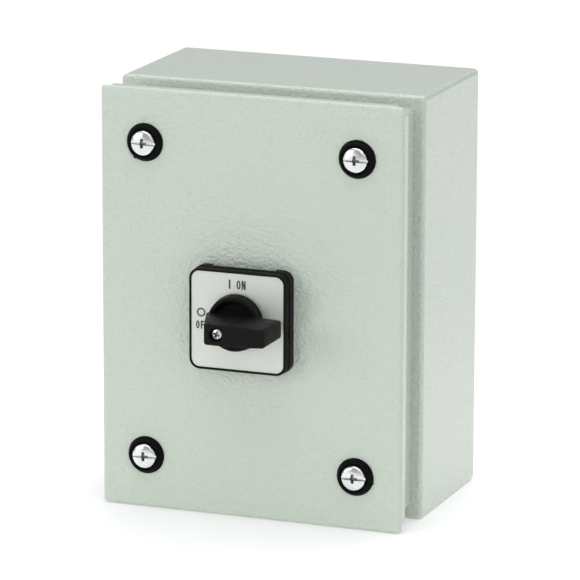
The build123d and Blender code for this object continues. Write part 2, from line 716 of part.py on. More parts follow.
def contact_chamber(floor):
    """Moulded tray for one layer of contacts, closed by the layer in front of it."""
    start = floor + CHAMBER_FLOOR
    stop = floor + CHAMBER_DEPTH
    tray = slab(CHAMBER_WIDTH, CHAMBER_HEIGHT, floor, stop, CHAMBER_RADIUS)
    tray -= rod(CAVITY_RADIUS, start, stop)
    tray -= rod(SHAFT_HOLE, floor, start)
    tray -= slab(SLIDER_CHANNEL, PLUNGER_WIDTH + SLIDER_CLEARANCE, start, stop)
    strip_room = STRIP_BACK - STRIP_CLEARANCE
    throat = STRIP_CLEARANCE / 2
    rooms = [
        ((SPRING_ROOM_INNER, 0), (SPRING_ROOM_OUTER, BRIDGE_ROOM_TOP)),
        ((strip_room, STRIP_ROOM_BOTTOM), (SPRING_ROOM_INNER + throat, BRIDGE_ROOM_TOP)),
        ((STRIP_BACK - throat, BRIDGE_ROOM_TOP), (STRIP_FACE + throat, STRIP_ROOM_TOP)),
        ((strip_room, STRIP_ROOM_TOP), (TERMINAL_ROOM_OUTER, CHAMBER_HEIGHT / 2)),
    ]
    for side, up in corner_terminals():
        for inner, outer in rooms:
            tray -= span(side, up, inner, outer, start, stop)
    for z in (-THROUGH_BOLT_Z, THROUGH_BOLT_Z):
        tray -= rod(M3_HOLE, floor, stop, 0, z)
    return on_axis(tray)


def cam(floor):
    """Two-lobed cam on a round hub, whose radius falls evenly with the angle from each peak."""
    start = floor + CHAMBER_FLOOR + CAM_END_GAP
    stop = floor + CHAMBER_DEPTH - CAM_END_GAP
    curves = []
    for quarter in range(4):
        points = []
        for step in range(CAM_STEPS + 1):
            share = step / CAM_STEPS
            drop = share if quarter % 2 == 0 else 1 - share
            angle = (quarter + share) * pi / 2
            radius = CAM_PEAK - CONTACT_TRAVEL * drop
            points.append((radius * cos(angle), radius * sin(angle)))
        curves.append(Spline(*points))
    lobe = extrude(at(start) * make_face(curves), stop - start)
    hub = rod(CAM_HUB_RADIUS, floor + CHAMBER_FLOOR + CAM_HUB_GAP, floor + CHAMBER_DEPTH - CAM_HUB_GAP)
    return on_axis(lobe + hub - square_bore(floor, floor + CHAMBER_DEPTH))


def mirrored(part, side):
    """A part drawn on the +X side, turned over to the side asked for."""
    return part if side > 0 else mirror(part, about=Plane.YZ)


def contact_plunger(floor, side):
    """Insulating slider between the cam and the bridge."""
    middle = chamber_middle(floor)
    half = PLUNGER_WIDTH / 2
    tip = CAM_PEAK + CAM_GAP
    start = middle - SLIDER_HALF_DEPTH
    stop = middle + SLIDER_HALF_DEPTH
    body = box_between((tip + NOSE_LENGTH, start, -half), (PLUNGER_BACK, stop, half))
    nose = rod(NOSE_RADIUS, start, stop, tip + NOSE_RADIUS)
    nose += box_between((tip + NOSE_RADIUS, start, -NOSE_RADIUS), (tip + NOSE_LENGTH, stop, NOSE_RADIUS))
    window = BRIDGE_WIDTH / 2 + BRIDGE_CLEARANCE
    slot = box_between(
        (BRIDGE_FACE - BRIDGE_CLEARANCE, middle - window, -half),
        (BRIDGE_FACE + BRIDGE_THICKNESS + BRIDGE_CLEARANCE, middle + window, half),
    )
    return on_axis(mirrored(body + nose - slot, side))


def contact_bridge(floor, side):
    """Copper bar with a silver tip at each end."""
    middle = chamber_middle(floor)
    half = BRIDGE_WIDTH / 2
    bar = box_between(
        (BRIDGE_FACE, middle - half, -BRIDGE_HALF_LENGTH),
        (BRIDGE_FACE + BRIDGE_THICKNESS, middle + half, BRIDGE_HALF_LENGTH),
    )
    for up in (1, -1):
        tip = Cylinder(TIP_RADIUS, TIP_HEIGHT, rotation=(0, 90, 0))
        bar += Pos(BRIDGE_FACE - TIP_HEIGHT / 2, -middle, up * CONTACT_SPREAD) * tip
    return on_axis(mirrored(bar, side))


def contact_spring(floor, side):
    start = PLUNGER_BACK + SPRING_GAP
    spring = coil(SPRING_RADIUS, CONTACT_WIRE, SPRING_ROOM_OUTER - SPRING_GAP - start, SPRING_TURNS)
    return on_axis(mirrored(Pos(start, -chamber_middle(floor), 0) * spring, side))


def fixed_contacts(floor):
    """Four strips, each with a silver tip at one end and a threaded terminal plate at the other."""
    middle = chamber_middle(floor)
    half = STRIP_WIDTH / 2
    strips = []
    for side, up in corner_terminals():
        start = middle - half
        stop = middle + half
        plate_top = TERMINAL_PLATE_Z + TERMINAL_PLATE
        strip = span(side, up, (STRIP_BACK, STRIP_START_Z), (STRIP_FACE, plate_top), start, stop)
        back = middle - TERMINAL_PLATE_HALF
        front = middle + TERMINAL_PLATE_HALF
        inner = STRIP_BACK, TERMINAL_PLATE_Z
        plate = span(side, up, inner, (TERMINAL_PLATE_END, plate_top), back, front)
        bore = Cylinder(TERMINAL_SCREW + SLIP, CUT_THROUGH)
        plate -= Pos(side * TERMINAL_X, -middle, up * TERMINAL_PLATE_Z) * bore
        tip = Cylinder(TIP_RADIUS, TIP_HEIGHT, rotation=(0, 90, 0))
        tip = Pos(side * (STRIP_FACE + TIP_HEIGHT / 2), -middle, up * CONTACT_SPREAD) * tip
        strips.append(on_axis(strip + plate + tip))
    return group(strips)


def terminal_clamps(floor):
    middle = chamber_middle(floor)
    clamps = []
    for side, up in corner_terminals():
        inner = CLAMP_INNER, CLAMP_Z
        outer = CLAMP_OUTER, TERMINAL_HEAD_Z
        clamp = span(side, up, inner, outer, middle - CLAMP_HALF, middle + CLAMP_HALF)
        bore = Cylinder(TERMINAL_SCREW + SLIP, CUT_THROUGH)
        clamps.append(on_axis(clamp - Pos(side * TERMINAL_X, -middle, up * CLAMP_Z) * bore))
    return group(clamps)


def terminal_screws(floor):
    middle = chamber_middle(floor)
    screws = []
    for side, up in corner_terminals():
        head_height = TERMINAL_END_Z - TERMINAL_HEAD_Z
        shank_height = TERMINAL_HEAD_Z - TERMINAL_SHANK_Z
        head = Pos(0, 0, TERMINAL_HEAD_Z + head_height / 2) * Cylinder(TERMINAL_HEAD_RADIUS, head_height)
        slot = Box(3 * TERMINAL_HEAD_RADIUS, TERMINAL_SLOT_WIDTH, 2 * TERMINAL_SLOT_DEPTH)
        head -= Pos(0, 0, TERMINAL_END_Z) * slot
        shank = Pos(0, 0, TERMINAL_SHANK_Z + shank_height / 2) * Cylinder(TERMINAL_SCREW, shank_height)
        screw = head + shank
        if up < 0:
            screw = screw.rotate(Axis.X, 180)
        screws.append(on_axis(Pos(side * TERMINAL_X, -middle, 0) * screw))
    return group(screws)


def end_plate():
    plate = slab(CHAMBER_WIDTH, CHAMBER_HEIGHT, END_PLATE_BACK, REAR_CHAMBER, CHAMBER_RADIUS)
    plate -= rod(JOURNAL_RADIUS + BUSH_FIT, END_PLATE_BACK, REAR_CHAMBER)
    for z in (-THROUGH_BOLT_Z, THROUGH_BOLT_Z):
        plate -= rod(M3_HOLE, END_PLATE_BACK, REAR_CHAMBER, 0, z)
    return on_axis(plate)


def through_bolts():
    """Two M3 screws that clamp the layers to the detent housing from behind."""
    bolts = []
    back = END_PLATE_BACK - KNOB_SCREW_HEAD_HEIGHT
    slot_front = back + KNOB_SCREW_HEAD_HEIGHT / 2
    for z in (-THROUGH_BOLT_Z, THROUGH_BOLT_Z):
        head = rod(KNOB_SCREW_HEAD, back, END_PLATE_BACK, 0, z)
        head -= slab(KNOB_SCREW_CROSS, KNOB_SCREW_SLOT, back, slot_front, 0, 0, z)
        bolts.append(on_axis(head + rod(M3_RADIUS, END_PLATE_BACK, BOLT_END, 0, z)))
    return group(bolts)


# ---- nodes -------------------------------------------------------------------------------------

PARTS = {
    "enclosure_body": enclosure_body,
    "corner_brackets": corner_brackets,
    "weld_nuts": weld_nuts,
    "earth_stud": earth_stud,
    "earth_washers": earth_washers,
    "earth_nuts": earth_nuts,
    "lid": lid,
    "lid_gasket": lid_gasket,
    "lid_screws": lid_screws,
    "screw_sealing_washers": screw_sealing_washers,
    "bezel_gasket": bezel_gasket,
    "bezel_base": bezel_base,
    "base_screws": base_screws,
    "shaft_seal": shaft_seal,
    "bezel_frame": bezel_frame,
    "legend_plate": legend_plate,
    "knob": knob,
    "knob_screw": knob_screw,
    "drive_shaft": drive_shaft,
    "detent_housing": detent_housing,
    "detent_cover": detent_cover,
    "detent_wheel": detent_wheel,
    "stop_washer": stop_washer,
    "shaft_bush": shaft_bush,
    "detent_plungers": detent_plungers,
    "detent_springs": detent_springs,
    "end_plate": end_plate,
    "through_bolts": through_bolts,
}


def write(name, part):
    export_step(part, f"parts/{name}.step")


os.makedirs("parts", exist_ok=True)
for name, make in PARTS.items():
    write(name, make())
for layer, floor in CHAMBERS.items():
    write(f"contact_chamber_{layer}", contact_chamber(floor))
    write(f"cam_{layer}", cam(floor))
    write(f"fixed_contacts_{layer}", fixed_contacts(floor))
    write(f"terminal_clamps_{layer}", terminal_clamps(floor))
    write(f"terminal_screws_{layer}", terminal_screws(floor))
    for hand, side in SIDES.items():
        write(f"contact_plunger_{layer}_{hand}", contact_plunger(floor, side))
        write(f"contact_bridge_{layer}_{hand}", contact_bridge(floor, side))
        write(f"contact_spring_{layer}_{hand}", contact_spring(floor, side))
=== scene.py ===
import json
from math import cos, hypot, pi, radians, sin, tau

import bmesh
import bpy
from mathutils import Matrix, Vector


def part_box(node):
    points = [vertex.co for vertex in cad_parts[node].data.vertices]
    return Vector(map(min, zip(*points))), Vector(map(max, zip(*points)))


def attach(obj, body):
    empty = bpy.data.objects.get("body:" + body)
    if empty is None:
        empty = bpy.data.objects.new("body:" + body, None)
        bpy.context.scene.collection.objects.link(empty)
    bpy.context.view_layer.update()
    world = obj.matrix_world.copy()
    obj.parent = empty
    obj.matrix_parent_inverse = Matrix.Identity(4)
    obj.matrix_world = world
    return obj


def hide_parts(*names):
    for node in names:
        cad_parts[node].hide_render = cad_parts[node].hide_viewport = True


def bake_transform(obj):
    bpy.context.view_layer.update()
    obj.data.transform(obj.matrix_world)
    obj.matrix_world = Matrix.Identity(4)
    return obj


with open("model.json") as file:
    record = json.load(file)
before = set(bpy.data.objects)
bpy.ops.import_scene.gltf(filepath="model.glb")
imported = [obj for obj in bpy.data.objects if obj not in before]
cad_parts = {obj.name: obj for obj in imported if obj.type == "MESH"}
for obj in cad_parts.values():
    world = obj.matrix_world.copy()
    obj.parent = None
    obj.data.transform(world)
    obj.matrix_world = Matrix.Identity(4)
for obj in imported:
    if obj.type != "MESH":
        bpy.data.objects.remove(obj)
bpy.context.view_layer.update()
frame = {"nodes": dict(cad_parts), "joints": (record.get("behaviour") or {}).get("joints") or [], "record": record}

# Looks of a wall-mounted rotary isolator. The origin is the centre of the back face, +Z is up and
# the front faces -Y. Lengths below are in mm, and a "station" is a distance off the wall, so a
# station s lies on the plane y = -s. Points are turned into metres where a mesh is made.

MM = 0.001
JOINTS = {joint["name"]: joint for joint in frame["joints"]}


# ---- what the frame gives ----------------------------------------------------------------------


class Extent:
    """The space that a CAD node, or one solid of it, fills, in mm: x, z and station ranges."""

    def __init__(self, node, corners=None):
        low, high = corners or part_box(node)
        self.left, self.right = low.x / MM, high.x / MM
        self.bottom, self.top = low.z / MM, high.z / MM
        self.back, self.front = -high.y / MM, -low.y / MM
        self.x = (self.left + self.right) / 2
        self.z = (self.bottom + self.top) / 2
        self.width = self.right - self.left
        self.height = self.top - self.bottom


def solids(node):
    """The space of each separate solid of a CAD node, in the order of its mesh."""
    bm = bmesh.new()
    bm.from_mesh(frame["nodes"][node].data)
    bmesh.ops.remove_doubles(bm, verts=bm.verts, dist=0.001 * MM)
    seen = set()
    found = []
    for start in bm.verts:
        if start in seen:
            continue
        seen.add(start)
        island, edge = [start], [start]
        while edge:
            for link in edge.pop().link_edges:
                for vertex in link.verts:
                    if vertex not in seen:
                        seen.add(vertex)
                        island.append(vertex)
                        edge.append(vertex)
        low, high = (Vector(choose(v.co[i] for v in island) for i in range(3)) for choose in (min, max))
        found.append(Extent(node, (low, high)))
    bm.free()
    return found


AXIS = Vector(JOINTS["handle_turn"]["pos_m"]) / MM
LID = Extent("lid")
BODY = Extent("enclosure_body")


def four(half_x, half_z, x=0.0, z=0.0):
    """The four corners of a rectangle."""
    return [(x + sx * half_x, z + sz * half_z) for sz in (1, -1) for sx in (-1, 1)]


# ---- mesh building -----------------------------------------------------------------------------


SHARP_ANGLE = 35.0


def shade(mesh, sharp=SHARP_ANGLE):
    """Smooth shading that breaks at edges sharper than an angle in degrees."""
    mesh.shade_smooth()
    mesh.set_sharp_from_angle(angle=radians(sharp))


def new_object(name, mesh, sharp=SHARP_ANGLE):
    shade(mesh, sharp)
    piece = bpy.data.objects.new(name, mesh)
    bpy.context.scene.collection.objects.link(piece)
    return piece


def build(name, points, faces, sharp=SHARP_ANGLE):
    """A mesh object from points in mm, with its faces turned outwards."""
    mesh = bpy.data.meshes.new(name)
    mesh.from_pydata([[c * MM for c in point] for point in points], [], faces)
    bm = bmesh.new()
    bm.from_mesh(mesh)
    bmesh.ops.recalc_face_normals(bm, faces=bm.faces)
    bm.to_mesh(mesh)
    bm.free()
    return new_object(name, mesh, sharp)


def skin(name, rings, loop=False, sharp=SHARP_ANGLE):
    """Surface through a row of rings with equal numbers of points. It is closed at both ends, or
    its last ring is joined to its first."""
    count = len(rings[0])
    points = [point for ring in rings for point in ring]
    faces = []
    for row in range(len(rings) if loop else len(rings) - 1):
        here = row * count
        there = (row + 1) % len(rings) * count
        for i in range(count):
            j = (i + 1) % count
            faces.append((here + i, here + j, there + j, there + i))
    if not loop:
        faces.append(tuple(range(count)))
        faces.append(tuple(range(len(points) - count, len(points))))
    return build(name, points, faces, sharp)


def arc(radius, station, bend, first, last, steps=5):
    """Points on a round of a lathe profile: centre at radius and station, angles in degrees."""
    points = []
    for step in range(steps + 1):
        angle = radians(first + (last - first) * step / steps)
        points.append((radius + bend * cos(angle), station + bend * sin(angle)))
    return points


def circle(radius, station, x=0.0, z=0.0, count=48):
    return [
        (x + radius * cos(tau * i / count), -station, z + radius * sin(tau * i / count))
        for i in range(count)
    ]


def lathe(name, profile, x=0.0, z=0.0, count=48, loop=False):
    """Round piece square to the wall, from (radius, station) points."""
    rings = [circle(radius, station, x, z, count) for radius, station in profile]
    return skin(name, rings, loop)


def rounded_square(half_x, half_z, radius, station, x=0.0, z=0.0, per_corner=8):
    """Ring with four rounded corners. A radius as large as the half-widths gives a circle."""
    points = []
    for corner, (sx, sz) in enumerate([(1, 1), (-1, 1), (-1, -1), (1, -1)]):
        for i in range(per_corner + 1):
            angle = (corner + i / per_corner) * pi / 2
            across = sx * (half_x - radius) + radius * cos(angle)
            up = sz * (half_z - radius) + radius * sin(angle)
            points.append((x + across, -station, z + up))
    return points


def round_hole(radius, station, x=0.0, z=0.0, per_corner=8):
    """Round ring whose points pair up with those of rounded_square."""
    count = 4 * (per_corner + 1)
    points = []
    for i in range(count):
        angle = tau * (i + 0.5) / count
        points.append((x + radius * cos(angle), -station, z + radius * sin(angle)))
    return points


def block(name, left, right, back, front, bottom, top):
    """Plain block, used only to cut or shape other pieces."""
    ring = [(left, bottom), (right, bottom), (right, top), (left, top)]
    return skin(name, [[(x, -station, z) for x, z in ring] for station in (back, front)])


def boolean(piece, tool, operation):
    """Joins, cuts or trims a piece with a tool, which is then deleted."""
    modifier = piece.modifiers.new("shape", "BOOLEAN")
    modifier.operation = operation
    modifier.solver = "EXACT"
    modifier.object = tool
    evaluated = piece.evaluated_get(bpy.context.evaluated_depsgraph_get())
    mesh = bpy.data.meshes.new_from_object(evaluated)
    piece.modifiers.clear()
    piece.data = mesh
    shade(mesh)
    bpy.data.objects.remove(tool)


def join(name, pieces):
    """One piece from several, which are deleted."""
    bm = bmesh.new()
    for piece in pieces:
        bm.from_mesh(piece.data)
        bpy.data.objects.remove(piece)
    mesh = bpy.data.meshes.new(name)
    bm.to_mesh(mesh)
    bm.free()
    return new_object(name, mesh)


SPRING_RADIUS = 1.7
SPRING_TURNS = 5.0
CLOSED_TURNS = 0.75
STEPS_PER_TURN = 24


def helix_spring(name, start, end, wire):
    """Round-wire compression spring between two points in mm, with closed turns at its ends."""
    start, end = Vector(start), Vector(end)
    along = (end - start).normalized()
    across = along.cross(Vector((0, 1, 0))).normalized()
    up = along.cross(across)
    length = (end - start).length - wire
    open_length = length - 2 * CLOSED_TURNS * wire
    turns = SPRING_TURNS + 2 * CLOSED_TURNS
    steps = int(STEPS_PER_TURN * turns)
    points = []
    for step in range(steps + 1):
        turn = turns * step / steps
        opened = min(max(turn - CLOSED_TURNS, 0.0), SPRING_TURNS)
        closed = min(turn, CLOSED_TURNS) + max(turn - CLOSED_TURNS - SPRING_TURNS, 0.0)
        travel = wire / 2 + open_length * opened / SPRING_TURNS + closed * wire
        angle = tau * turn
        swing = (across * cos(angle) + up * sin(angle)) * SPRING_RADIUS
        points.append(start + along * travel + swing)
    return tube(name, points, wire / 2)


def tube(name, points, radius, count=10):
    """Round wire along a row of points."""
    rings = []
    side = None
    for i, point in enumerate(points):
        along = (points[min(i + 1, len(points) - 1)] - points[max(i - 1, 0)]).normalized()
        side = side or along.orthogonal()
        side = (side - along * side.dot(along)).normalized()
        up = along.cross(side)
        rings.append(
            [
                tuple(point + (side * cos(tau * k / count) + up * sin(tau * k / count)) * radius)
                for k in range(count)
            ]
        )
    return skin(name, rings, sharp=60.0)


# ---- material building -------------------------------------------------------------------------


class Finish:
    """A procedural material: a Principled shader, and a few nodes that vary it."""

    def __init__(self, name, colour, roughness, metallic=0.0, **sockets):
        self.material = bpy.data.materials.new(name)
        self.material.use_nodes = True
        tree = self.material.node_tree
        self.nodes, self.links = tree.nodes, tree.links
        self.shader = self.nodes["Principled BSDF"]
        self.set("Base Color", (*colour, 1.0))
        self.set("Roughness", roughness)
        self.set("Metallic", metallic)
        for socket, value in sockets.items():
            self.set(socket.replace("_", " "), value)
        self.position = self.nodes.new("ShaderNodeTexCoord").outputs["Object"]

    def set(self, socket, value):
        self.shader.inputs[socket].default_value = value

    def stretched(self, scale):
        """Coordinates squeezed along each axis, for grain that runs one way."""
        mapping = self.nodes.new("ShaderNodeMapping")
        mapping.inputs["Scale"].default_value = scale
        self.links.new(self.position, mapping.inputs["Vector"])
        return mapping.outputs["Vector"]

    def noise(self, size, detail, position=None, rough=0.5):
        """Cloudy pattern with features of about the given size in mm."""
        node = self.nodes.new("ShaderNodeTexNoise")
        node.inputs["Scale"].default_value = 1 / (size * MM)
        node.inputs["Detail"].default_value = detail
        node.inputs["Roughness"].default_value = rough
        self.links.new(position or self.position, node.inputs["Vector"])
        return node.outputs["Fac"]

    def cells(self, size):
        """Rounded pits of about the given size in mm."""
        node = self.nodes.new("ShaderNodeTexVoronoi")
        node.feature = "SMOOTH_F1"
        node.inputs["Scale"].default_value = 1 / (size * MM)
        self.links.new(self.position, node.inputs["Vector"])
        return node.outputs["Distance"]

    def spread(self, value, low, high, start=0.35, stop=0.65):
        """Maps a pattern's middle range onto low to high."""
        node = self.nodes.new("ShaderNodeMapRange")
        node.inputs["From Min"].default_value = start
        node.inputs["From Max"].default_value = stop
        node.inputs["To Min"].default_value = low
        node.inputs["To Max"].default_value = high
        self.links.new(value, node.inputs["Value"])
        return node.outputs["Result"]

    def tint(self, factor, other):
        """Blends the base colour towards another colour by a pattern."""
        node = self.nodes.new("ShaderNodeMix")
        node.data_type = "RGBA"
        inputs = [socket for socket in node.inputs if socket.type == "RGBA"]
        colour = self.shader.inputs["Base Color"]
        if colour.is_linked:
            self.links.new(colour.links[0].from_socket, inputs[0])
        else:
            inputs[0].default_value = colour.default_value
        inputs[1].default_value = (*other, 1.0)
        self.links.new(factor, node.inputs["Factor"])
        result = next(socket for socket in node.outputs if socket.type == "RGBA")
        self.links.new(result, colour)

    def vary_roughness(self, value, low, high):
        """Lets a pattern move the roughness between two values."""
        self.links.new(self.spread(value, low, high), self.shader.inputs["Roughness"])

    def bump(self, height, depth, strength):
        """Relief with the given depth in mm, on top of any relief already there."""
        node = self.nodes.new("ShaderNodeBump")
        node.inputs["Strength"].default_value = strength
        node.inputs["Distance"].default_value = depth * MM
        self.links.new(height, node.inputs["Height"])
        normal = self.shader.inputs["Normal"]
        if normal.is_linked:
            self.links.new(normal.links[0].from_socket, node.inputs["Normal"])
        self.links.new(node.outputs["Normal"], normal)


def powder_coat():
    """Light grey-green structured powder coat: orange peel, with a finer grain on it."""
    finish = Finish("powder_coat", (0.555, 0.628, 0.535), 0.34, Coat_Weight=1.0, Coat_Roughness=0.09)
    peel = finish.noise(1.4, 1.0, rough=0.4)
    finish.bump(finish.spread(peel, 0.0, 1.0, 0.3, 0.7), 0.32, 1.0)
    finish.bump(finish.noise(0.6, 1.0), 0.05, 0.6)
    finish.vary_roughness(finish.noise(5.0, 3.0), 0.30, 0.40)
    finish.tint(finish.spread(finish.noise(60.0, 3.0), 0.0, 0.4), (0.545, 0.610, 0.555))
    return finish.material


def zinc(name="zinc", rough=0.2):
    """Bright zinc plate with a faint bloom and fine handling marks."""
    finish = Finish(name, (0.83, 0.84, 0.82), rough, 1.0)
    finish.vary_roughness(finish.noise(2.2, 4.0), rough - 0.05, rough + 0.12)
    marks = finish.noise(0.25, 2.0, finish.stretched((1.0, 1.0, 0.15)))
    finish.bump(marks, 0.012, 0.5)
    finish.tint(finish.spread(finish.noise(3.0, 3.0), 0.0, 0.6), (0.70, 0.72, 0.72))
    return finish.material


def recess():
    """Dull grey for the inside of a driver recess and the walls of a slot: painted shade, darker than the zinc
    round it.
    """
    finish = Finish("driver_recess_shade", (0.34, 0.38, 0.39), 0.42, 0.85)
    finish.bump(finish.noise(0.2, 3.0), 0.02, 0.6)
    finish.tint(finish.spread(finish.noise(0.5, 3.0), 0.0, 0.7), (0.18, 0.21, 0.22))
    return finish.material


def rubber():
    """Matt black moulded rubber with a dusty bloom."""
    finish = Finish("black_rubber", (0.003, 0.003, 0.003), 0.55, Specular_IOR_Level=0.08)
    finish.bump(finish.noise(0.18, 3.0), 0.03, 0.6)
    finish.vary_roughness(finish.noise(1.5, 3.0), 0.52, 0.72)
    finish.tint(finish.spread(finish.noise(0.5, 4.0), 0.0, 0.5, 0.56, 0.75), (0.012, 0.012, 0.011))
    return finish.material


def black_plastic():
    """Satin black moulding with a spark-eroded grain."""
    finish = Finish("black_plastic", (0.0055, 0.0058, 0.005), 0.42, Specular_IOR_Level=0.1)
    finish.bump(finish.noise(0.16, 2.0), 0.014, 0.7)
    finish.vary_roughness(finish.noise(2.6, 3.0), 0.42, 0.54)
    finish.tint(finish.spread(finish.noise(0.7, 4.0), 0.0, 0.4, 0.6, 0.78), (0.010, 0.010, 0.009))
    return finish.material


def silver_foil():
    """Satin silver plate with a fine brushed grain along X."""
    finish = Finish("silver_foil", (0.70, 0.73, 0.67), 0.36, 0.3)
    grain = finish.noise(0.3, 3.0, finish.stretched((0.04, 1.0, 1.0)))
    finish.bump(grain, 0.006, 0.35)
    finish.vary_roughness(finish.noise(0.6, 2.0, finish.stretched((0.06, 1.0, 1.0))), 0.33, 0.44)
    finish.tint(finish.spread(finish.noise(14.0, 2.0), 0.0, 0.5), (0.65, 0.68, 0.64))
    return finish.material


def ink():
    """Dark grey screen print, thin enough to show a little of the plate."""
    finish = Finish("legend_ink", (0.035, 0.04, 0.045), 0.5)
    finish.bump(finish.noise(0.12, 2.0), 0.01, 0.4)
    finish.tint(finish.spread(finish.noise(0.25, 3.0), 0.0, 0.35), (0.085, 0.09, 0.095))
    return finish.material


def foam():
    """Charcoal closed-cell foam strip."""
    finish = Finish("foam", (0.045, 0.046, 0.048), 0.85, Sheen_Weight=0.15)
    finish.bump(finish.cells(0.45), 0.12, 0.8)
    finish.tint(finish.spread(finish.cells(0.3), 0.0, 0.8), (0.10, 0.10, 0.105))
    return finish.material


def grey_moulding():
    """Dark grey thermoset with a faint mottle and a satin skin."""
    finish = Finish("grey_moulding", (0.085, 0.09, 0.095), 0.46)
    finish.bump(finish.noise(0.3, 3.0), 0.02, 0.5)
    finish.vary_roughness(finish.noise(4.0, 3.0), 0.40, 0.55)
    finish.tint(finish.spread(finish.noise(0.8, 5.0), 0.0, 0.6, 0.5, 0.7), (0.15, 0.155, 0.16))
    return finish.material


def nylon():
    """Natural nylon: milky, with a slight glow from within."""
    finish = Finish("nylon", (0.74, 0.70, 0.58), 0.4, Subsurface_Weight=0.25, Subsurface_Scale=0.001)
    finish.bump(finish.noise(0.4, 2.0), 0.012, 0.5)
    finish.vary_roughness(finish.noise(3.0, 2.0), 0.34, 0.48)
    finish.tint(finish.spread(finish.noise(5.0, 3.0), 0.0, 0.6), (0.68, 0.62, 0.47))
    return finish.material


def steel(name="steel", rough=0.28):
    """Drawn steel with lines along the shaft."""
    finish = Finish(name, (0.56, 0.56, 0.57), rough, 1.0)
    lines = finish.noise(0.22, 3.0, finish.stretched((1.0, 0.05, 1.0)))
    finish.bump(lines, 0.01, 0.5)
    finish.vary_roughness(finish.noise(1.6, 3.0), rough - 0.06, rough + 0.1)
    finish.tint(finish.spread(finish.noise(2.5, 4.0), 0.0, 0.5), (0.46, 0.45, 0.45))
    return finish.material


def copper():
    """Rolled copper, slightly tarnished."""
    finish = Finish("copper", (0.86, 0.46, 0.30), 0.27, 1.0)
    finish.bump(finish.noise(0.25, 2.0, finish.stretched((1.0, 1.0, 0.08))), 0.008, 0.5)
    finish.vary_roughness(finish.noise(1.8, 3.0), 0.22, 0.4)
    finish.tint(finish.spread(finish.noise(3.5, 5.0), 0.0, 0.8), (0.62, 0.29, 0.18))
    return finish.material


PAINT = powder_coat()
ZINC = zinc()
DULL_ZINC = zinc("dull_zinc", 0.34)
SILVER_TIP = zinc("silver_tip", 0.3)
# Painted shade for the insides of screw recesses and slots.
RECESS_SHADE = recess()
RUBBER = rubber()
BLACK = black_plastic()
SILVER = silver_foil()
INK = ink()
FOAM = foam()
MOULDING = grey_moulding()
NYLON = nylon()
STEEL = steel()
SPRING_STEEL = steel("spring_steel", 0.22)
COPPER = copper()


# ---- CAD pieces that keep their shape ----------------------------------------------------------

SLOT_FINISH = {
    "grey_paint": PAINT,
    "zinc": ZINC,
    "black_rubber": RUBBER,
    "grey_foam": FOAM,
    "black_plastic": BLACK,
    "legend_silver": SILVER,
    "grey_moulding": MOULDING,
    "cam_plastic": NYLON,
    "steel": STEEL,
    "copper": COPPER,
}
NODE_SLOT = {part["node"]: part["material_slot"] for part in frame["record"]["subparts"]}

for node, piece in frame["nodes"].items():
    for material_slot in piece.material_slots:
        material_slot.material = SLOT_FINISH[NODE_SLOT[node]]


# ---- finishes and bodies -----------------------------------------------------------------------


def place(piece, body, slot, finish, *nodes):
    """Gives a piece its finish and body, and lets it stand for its CAD nodes."""
    coat(piece, slot, finish, *nodes)
    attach(piece, body)


def coat(piece, slot, finish, *nodes):
    """Gives a piece its finish, or a row of finishes that its faces choose from."""
    indices = [face.material_index for face in piece.data.polygons]
    piece.data.materials.clear()
    for material in finish if isinstance(finish, tuple) else (finish,):
        piece.data.materials.append(material)
    piece.data.polygons.foreach_set("material_index", indices)
    if nodes:
        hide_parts(*nodes)


# ---- screws ------------------------------------------------------------------------------------

THREAD_DEPTH = 0.54
THREAD_ROWS = 6
THREAD_SIDES = 24
POINT = 0.8
POINT_NARROWING = 0.22


def thread(name, radius, pitch, length, point=POINT):
    """Screwed shank behind the wall plane. Its thread gets narrower towards the point."""
    rows = max(2, round(length / pitch * THREAD_ROWS))
    rings = []
    for row in range(rows + 1):
        station = -length + length * row / rows
        taper = min(1.0, (station + length) / point)
        ring = []
        for i in range(THREAD_SIDES):
            phase = (station / pitch + i / THREAD_SIDES) % 1.0
            crest = abs(2 * phase - 1)
            reach = radius - THREAD_DEPTH * pitch * (1 - crest)
            reach *= 1 - POINT_NARROWING * (1 - taper)
            angle = tau * i / THREAD_SIDES
            ring.append((reach * cos(angle), -station, reach * sin(angle)))
        rings.append(ring)
    return skin(name, rings)


def pan_head(name, radius, height, slot_width, cross):
    """Domed head on the wall plane, with a screwdriver slot right across it and a cross recess.
    Either is left out when its size is 0. Faces inside them take the second finish, which paints shade on them."""
    edge = 0.37 * height
    crown = 0.13 * height
    slot_floor = 0.5 * height
    cross_depth = 0.75 * height
    rim_steps, dome_steps = 6, 6
    tip = 0.15
    profile = [(radius * 0.6, 0.0), (radius - 0.15, 0.0), (radius, 0.15)]
    profile += arc(radius - edge, height - crown - edge, edge, 0, 62, rim_steps)
    rim_radius, rim_station = profile[-1]
    for step in range(1, dome_steps + 1):
        share = step / dome_steps
        reach = rim_radius * (1 - share) + tip * share
        climb = (height - rim_station) * (1 - (1 - share) ** 2)
        profile.append((reach, rim_station + climb))
    head = lathe(name, profile, count=64)
    if slot_width:
        half = slot_width / 2
        slot = block("slot", -radius - 1, radius + 1, slot_floor, height + 1, -half, half)
        boolean(head, slot, "DIFFERENCE")
    if cross:
        boolean(head, cross_tool(height, cross, cross_depth), "DIFFERENCE")
    # The slot's walls and the faces of the cross recess get the second finish: painted shade.
    for face in head.data.polygons:
        centre = face.center / MM
        rise = -centre.y
        in_cross = hypot(centre.x, centre.z) < 0.52 * cross and 0.1 < rise < 0.86 * height
        in_slot = slot_width and abs(face.normal.z) > 0.99 and rise > slot_floor
        face.material_index = int(in_slot or in_cross)
    return head


